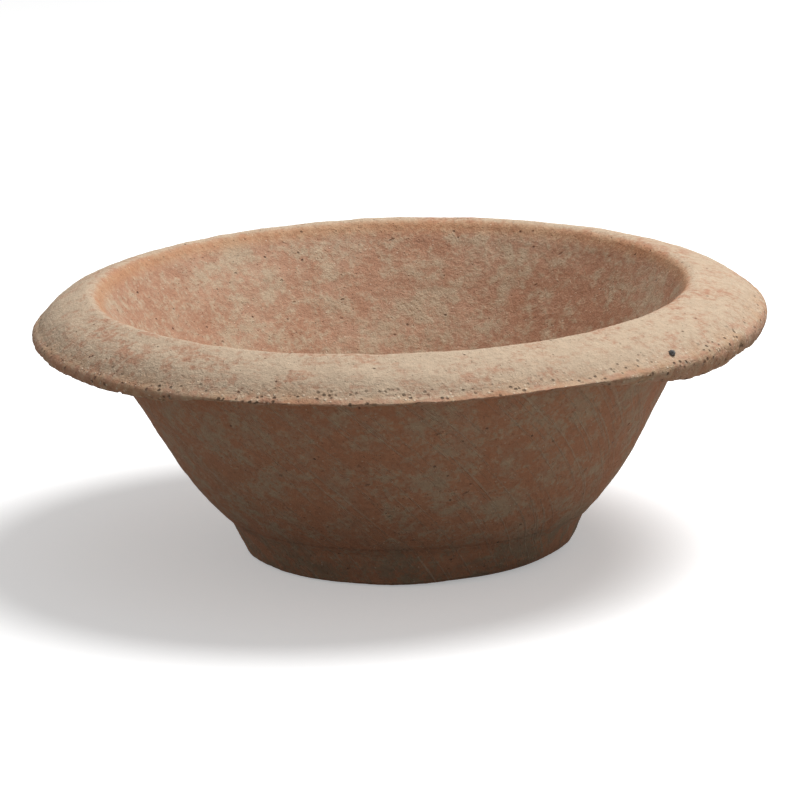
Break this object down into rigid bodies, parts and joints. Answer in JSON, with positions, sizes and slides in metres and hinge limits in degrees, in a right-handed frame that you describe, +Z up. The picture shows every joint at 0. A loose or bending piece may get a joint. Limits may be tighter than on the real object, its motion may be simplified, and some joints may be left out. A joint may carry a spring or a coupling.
{
  "type": "earthenware bowl",
  "caption": "Wide unglazed earthenware bowl with a deep sloping wall, a broad outward flange and a low ring foot, for mixing, serving or washing.",
  "frame": {"origin": "on the table under the middle of the flange's outer edge", "axes": "+Z up through the open mouth; +X to the picture's right; +Y away from the picture's camera"},
  "size_m": [0.3, 0.3, 0.1109],
  "materials": {
    "foot_clay": "matte, unglazed, dusty",
    "inner_clay": "matte, unglazed",
    "wall_clay": "matte, unglazed",
    "rim_clay": "matte, unglazed, pale bloom",
    "dark_grain": "glassy mineral"
  },
  "bodies": {
    "root": {"foot_ring": "foot_clay", "floor_disc": "inner_clay", "lower_wall": "wall_clay", "upper_wall": "wall_clay", "rim_collar": "rim_clay", "rim_grain": "dark_grain"}
  },
  "joints": []
}
